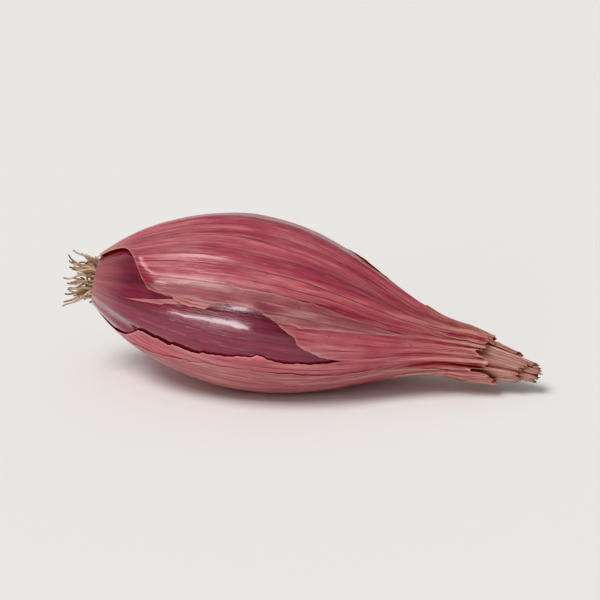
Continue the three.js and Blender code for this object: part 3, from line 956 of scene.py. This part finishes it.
def standing_threads(tree, given):
    rim = add(tree, "GeometryNodeInputNamedAttribute", "edge", data_type="FLOAT")
    facing_out = add(tree, VECTOR, add(tree, "GeometryNodeInputNormal"), given["Outward"],
                     operation="DOT_PRODUCT", out="Value")
    dense = add(tree, MATH, facing_out, rim, operation="MULTIPLY")
    dense = add(tree, MATH, dense, given["Roots per square metre"], operation="MULTIPLY")
    dense = add(tree, MATH, dense, 0.0, operation="MAXIMUM")
    points = add(tree, "GeometryNodeDistributePointsOnFaces", given["Geometry"], out="Points",
                 named={"Density": dense, "Seed": given["Seed"]})
    chance = add(tree, RANDOM, data_type="FLOAT", out=1, named={"Seed": given["Seed"]})
    tone = add(tree, RANDOM, data_type="FLOAT", out=1, named={"Seed": TONE_SEED})
    toned = add(tree, STORE, points, named={"Name": "root_tone", "Value": tone}, **ON_POINTS)
    mostly_short = add(tree, MATH, chance, MOST_ARE_SHORT, operation="POWER")
    length = add(tree, RANGE, mostly_short, 0.0, 1.0, SHORTEST_ROOT * MM, given["Longest"])
    scatter = add(tree, RANDOM, (-UNTIDINESS,) * 3, (UNTIDINESS,) * 3,
                  data_type="FLOAT_VECTOR", named={"Seed": SCATTER_SEED})
    normal = points.node.outputs["Normal"]
    heading = add(tree, VECTOR, normal, given["Outward"], operation="ADD")
    heading = add(tree, VECTOR, heading, scatter, operation="ADD")
    facing = add(tree, "FunctionNodeAlignRotationToVector", named={"Vector": heading}, axis="Z")
    thread = add(tree, "GeometryNodeCurvePrimitiveLine", (0.0, 0.0, ROOT_SUNK), (0.0, 0.0, 1.0))
    thread = add(tree, "GeometryNodeResampleCurve", thread, named={"Count": JOINTS_IN_ROOT})
    size = add(tree, "ShaderNodeCombineXYZ", length, length, length)
    stood = add(tree, "GeometryNodeInstanceOnPoints", toned,
                named={"Instance": thread, "Rotation": facing, "Scale": size})
    return add(tree, "GeometryNodeRealizeInstances", stood)


# %% The tree that grows roots
CURL_WIDTH, NOISE_MIDDLE, STIFF_BASE = 2.4, (0.5, 0.5, 0.56), 1.4
TAPER, ROOT_SIDES = (1.15, 0.55), 6


def root_tree():
    tree, given = start_tree("dried roots", {
        "Roots per square metre": "Float", "Longest": "Float", "Thickness": "Float",
        "Curliness": "Float", "Seed": "Int", "Outward": "Vector"})
    threads = standing_threads(tree, given)
    reach = add(tree, "GeometryNodeSplineParameter", out="Factor")
    kept = add(tree, STORE, threads, named={"Name": "root_reach", "Value": reach}, **ON_POINTS)
    noise = add(tree, NOISE, add(tree, "GeometryNodeInputPosition"), out="Color",
                named={"Scale": 1 / (CURL_WIDTH * MM), "Detail": 1.0})
    noise = add(tree, VECTOR, noise, NOISE_MIDDLE, operation="SUBTRACT")
    freedom = add(tree, MATH, reach, STIFF_BASE, operation="POWER")
    amount = add(tree, MATH, freedom, given["Curliness"], operation="MULTIPLY")
    bend = add(tree, VECTOR, noise, named={"Scale": amount}, operation="SCALE")
    curled = add(tree, "GeometryNodeSetPosition", kept, named={"Offset": bend})
    taper = add(tree, RANGE, reach, 0.0, 1.0, *TAPER)
    girth = add(tree, MATH, taper, given["Thickness"], operation="MULTIPLY")
    section = add(tree, "GeometryNodeCurvePrimitiveCircle", ROOT_SIDES, named={"Radius": 1.0})
    swept = add(tree, "GeometryNodeCurveToMesh", curled, section,
                named={"Scale": girth, "Fill Caps": True})
    return end_tree(tree, given, swept)


# %% Roots
LEAN = 0.7
outward = (-math.cos(AXIS_TILT) * LEAN, 0.0, math.sin(AXIS_TILT) * LEAN)
root_tuft = put_in_scene("dried_roots", basal_plate.data.copy())
grow(root_tuft, root_tree(), {
    "Roots per square metre": 9.0e6, "Longest": 4.6 * MM, "Thickness": 0.19 * MM,
    "Curliness": 2.4 * MM, "Seed": 9, "Outward": outward}, fibre)


# %% [markdown]
# ## Table
# The table is a matt laminate, almost white, with a grain that is barely felt. It lies a hair below
# zero, so that it never shares a surface with the underside of the bulb.

# %% Table
TABLE_HALF, TABLE_DROP = 4.0, 0.02
LAMINATE_GRAIN, LAMINATE_BUMP = 3.3, 0.05

laminate, t = blank_finish("matt_white_laminate")
place = add(t, "ShaderNodeTexCoord", out="Object")
grain = add(t, NOISE, place, named={"Scale": 1 / (LAMINATE_GRAIN * MM), "Detail": 3.0})
end_finish(laminate, linear("#efeeec"), grain, LAMINATE_BUMP, strength=0.2,
           **{"Roughness": 0.9, "Specular IOR Level": 0.0})
mesh = bpy.data.meshes.new("table")
corners = [(x * TABLE_HALF, y * TABLE_HALF, -TABLE_DROP * MM)
           for x, y in ((-1, -1), (1, -1), (1, 1), (-1, 1))]
mesh.from_pydata(corners, [], [(0, 1, 2, 3)])
mesh.materials.append(laminate)
table = put_in_scene("table", mesh)
print("table, metres wide:", 2 * TABLE_HALF)


# %% [markdown]
# ## Light
# One wide sun from the upper left of the front gives soft shade. A long low strip in front, unseen
# by the camera, is what the glossy skin mirrors as a bright line along the bulb. An even world keeps
# the shadows open, and is brighter to the camera, so backdrop and table are one pale field.

# %% Lamps and world
WORLD_LIGHT, WORLD_SEEN = 0.45, 0.94


def hang_lamp(name, kind, place, **settings):
    light = bpy.data.lights.new(name, kind)
    for key, value in settings.items():
        setattr(light, key, value)
    lamp = put_in_scene(name, light)
    lamp.location = place
    lamp.rotation_euler = Vector(place).to_track_quat("Z", "Y").to_euler()
    return lamp


hang_lamp("key", "SUN", (-0.4, -0.35, 0.95), angle=math.radians(28), energy=2.1)
strip = hang_lamp("front_strip", "AREA", (-0.34, -0.93, 0.08), shape="RECTANGLE", size=0.75,
                  size_y=0.09, energy=3.0)
strip.visible_camera = False
world = bpy.data.worlds.new("studio")
world.use_nodes = True
air = world.node_tree
air.nodes.clear()
seen_by_camera = add(air, "ShaderNodeLightPath", out="Is Camera Ray")
strength = add(air, RANGE, seen_by_camera, 0.0, 1.0, WORLD_LIGHT, WORLD_SEEN)
backdrop = add(air, "ShaderNodeBackground", linear("#f4f3f1"), strength)
add(air, "ShaderNodeOutputWorld", backdrop)
bpy.context.scene.world = world
bpy.context.scene.view_settings.view_transform = "Khronos PBR Neutral"
print("lights:", [light.name for light in bpy.data.lights])

# %% [markdown]
# ## Camera
# It looks from a little right of the front and a little above. A long lens keeps both ends of the
# bulb the same size, and the distance is worked out so that the bulb fills most of the frame.

# %% Camera
AZIMUTH, ELEVATION = math.radians(6), math.radians(22)
LENS, SENSOR, FRAME_SHARE = 100.0, 36.0, 0.8

low, high = (Vector(corner) for corner in cad_box)
distance = (high.x - low.x) / FRAME_SHARE * LENS / SENSOR
back = Vector((math.sin(AZIMUTH) * math.cos(ELEVATION), -math.cos(AZIMUTH) * math.cos(ELEVATION),
               math.sin(ELEVATION)))
lens = bpy.data.cameras.new("camera")
lens.lens = LENS
lens.sensor_width = SENSOR
camera = put_in_scene("camera", lens)
camera.location = (low + high) / 2 + back * distance
camera.rotation_euler = (-back).to_track_quat("-Z", "Y").to_euler()
bpy.context.scene.camera = camera
print("camera distance, mm:", round(distance / MM))


# %% [markdown]
# ## Hand the pieces to the frame
# Every piece rides on the one body, and the solids that the pieces take the place of are hidden. The
# films are extra, so they take the place of none. The table is only a stage.

# %% Ride, replace and finish
for piece in (fresh_skin, papery_skin, *films):
    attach(piece, "root")
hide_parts("bulb")
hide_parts("bulb")
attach(rolled_sheath, "root")
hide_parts("dry_neck")
for piece in (basal_plate, root_tuft):
    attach(piece, "root")
    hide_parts("root_tuft")
